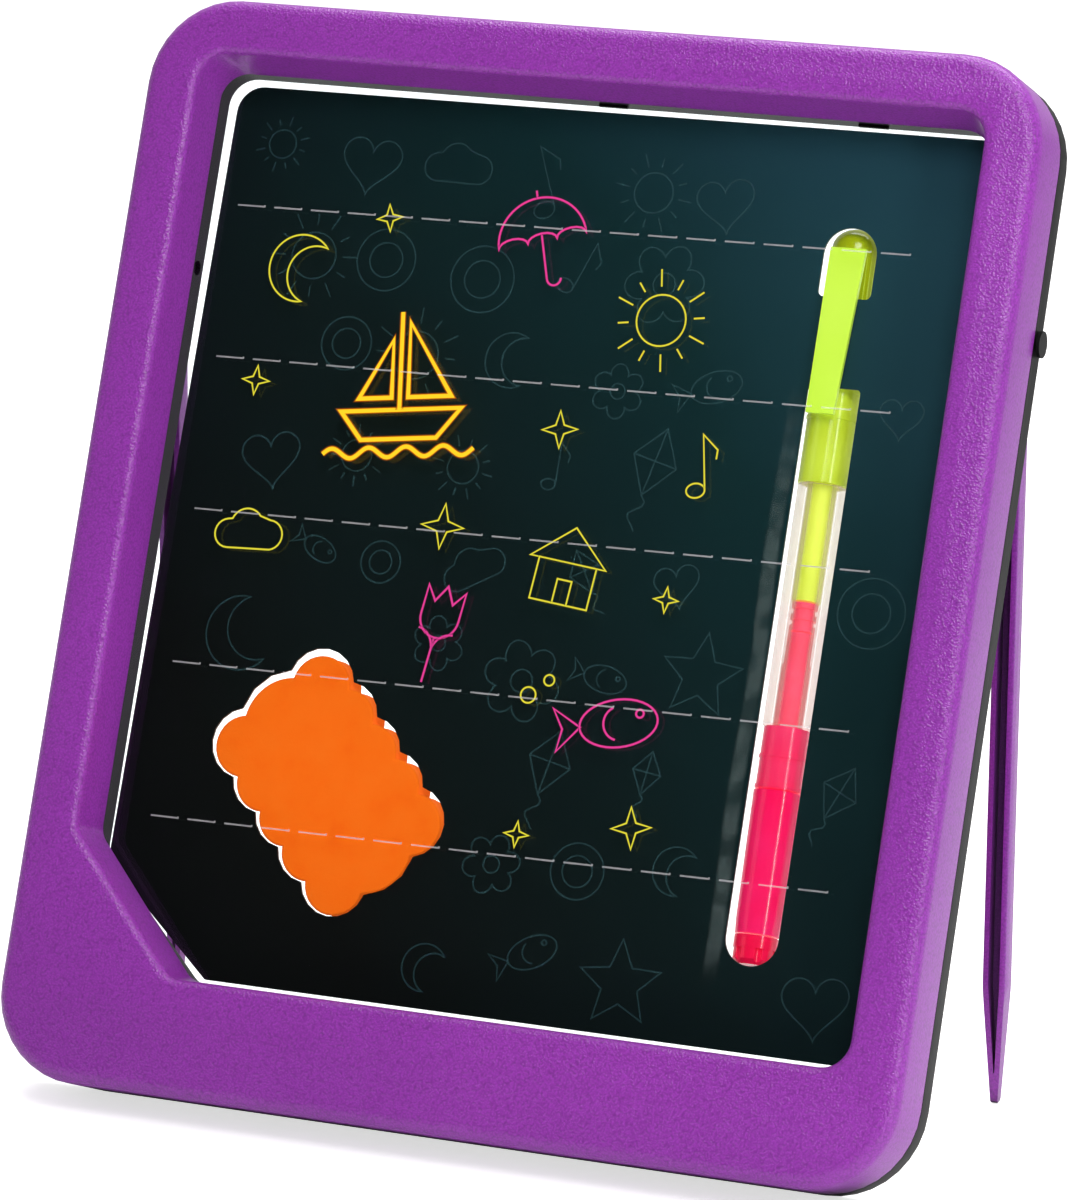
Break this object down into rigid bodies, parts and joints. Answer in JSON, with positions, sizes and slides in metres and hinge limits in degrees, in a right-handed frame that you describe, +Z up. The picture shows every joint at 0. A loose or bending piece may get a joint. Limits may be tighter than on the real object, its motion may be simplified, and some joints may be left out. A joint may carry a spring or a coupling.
{
  "type": "glow drawing board",
  "caption": "Light-up drawing board on two folding legs: clear edge-lit panel in a moulded frame, with a woven-in marker pen and a scalloped foam wiping pad.",
  "frame": {"origin": "middle of the bounding box at the level of the table the board stands on", "axes": "+X to the right of the board, -Y towards the person drawing, +Z up; the board leans back towards +Y"},
  "size_m": [0.1954, 0.1074, 0.2135],
  "materials": {
    "purple_plastic": "fine grained",
    "black_plastic": "satin",
    "clear_acrylic": "clear and polished",
    "printed_card": "smooth print",
    "orange_foam": "open foam",
    "steel": "zinc plated",
    "battery_sleeve": "printed sleeve",
    "circuit_board": "solder mask",
    "button_plastic": "satin",
    "lamp": "clear resin",
    "red_wire": "smooth",
    "black_wire": "smooth",
    "frosted_plastic": "frosted",
    "yellow_ink": "wet felt",
    "pink_ink": "wet felt",
    "lime_plastic": "bright gloss",
    "pink_plastic": "bright gloss"
  },
  "bodies": {
    "board": {"battery_1": "battery_sleeve", "battery_2": "battery_sleeve", "battery_3": "battery_sleeve", "battery_wire_black": "black_wire", "battery_wire_red": "red_wire", "case_screw_1": "steel", "case_screw_2": "steel", "case_screw_3": "steel", "case_screw_4": "steel", "case_screw_5": "steel", "case_screw_6": "steel", "circuit_board": "circuit_board", "circuit_screw_1": "steel", "circuit_screw_2": "steel", "contact_plate": "steel", "contact_spring": "steel", "drawing_panel": "clear_acrylic", "driver_chip": "black_plastic", "front_bezel": "purple_plastic", "insert_card": "printed_card", "lamp_1": "lamp", "lamp_2": "lamp", "lamp_3": "lamp", "lamp_4": "lamp", "lamp_5": "lamp", "lamp_6": "lamp", "light_strip": "circuit_board", "light_wire_black": "black_wire", "light_wire_red": "red_wire", "pivot_pin_left": "black_plastic", "pivot_pin_right": "black_plastic", "rear_cover": "black_plastic", "tact_switch": "black_plastic"},
    "leg_left": {"leg_left": "purple_plastic"},
    "leg_right": {"leg_right": "purple_plastic"},
    "door": {"battery_door": "black_plastic", "door_screw": "steel"},
    "button": {"mode_button": "button_plastic"},
    "pen": {"pen_barrel": "frosted_plastic", "ink_yellow": "yellow_ink", "ink_divider": "pink_plastic", "ink_pink": "pink_ink", "nib_yellow": "yellow_ink", "nib_pink": "pink_ink", "nib_holder": "pink_plastic", "yellow_cap": "lime_plastic", "pink_cap": "pink_plastic", "pen_end_plug": "pink_plastic"},
    "pad": {"wiping_pad": "orange_foam"}
  },
  "joints": [
    {"name": "leg_left_hinge", "type": "hinge", "parent": "board", "child": "leg_left", "pos_m": [-0.09205, 0.03013, 0.15797], "axis": [1, 0, 0], "range_deg": [-21.9, 0]},
    {"name": "leg_right_hinge", "type": "hinge", "parent": "board", "child": "leg_right", "pos_m": [0.09205, 0.03013, 0.15797], "axis": [1, 0, 0], "range_deg": [-21.9, 0]},
    {"name": "door_lift", "type": "slide", "parent": "board", "child": "door", "axis": [0, 0.9175, -0.3976], "range_m": [0, 0.02]},
    {"name": "button_press", "type": "slide", "parent": "board", "child": "button", "axis": [0, -0.9175, 0.3976], "range_m": [0, 0.0005], "stiffness_N_per_m": 600},
    {"name": "pen_lift", "type": "slide", "parent": "board", "child": "pen", "axis": [-0.0127, 0.4226, 0.9062], "range_m": [0, 0.0035]},
    {"name": "pad_pull", "type": "slide", "parent": "board", "child": "pad", "axis": [0, 0.9175, -0.3976], "range_m": [0, 0.015]}
  ]
}
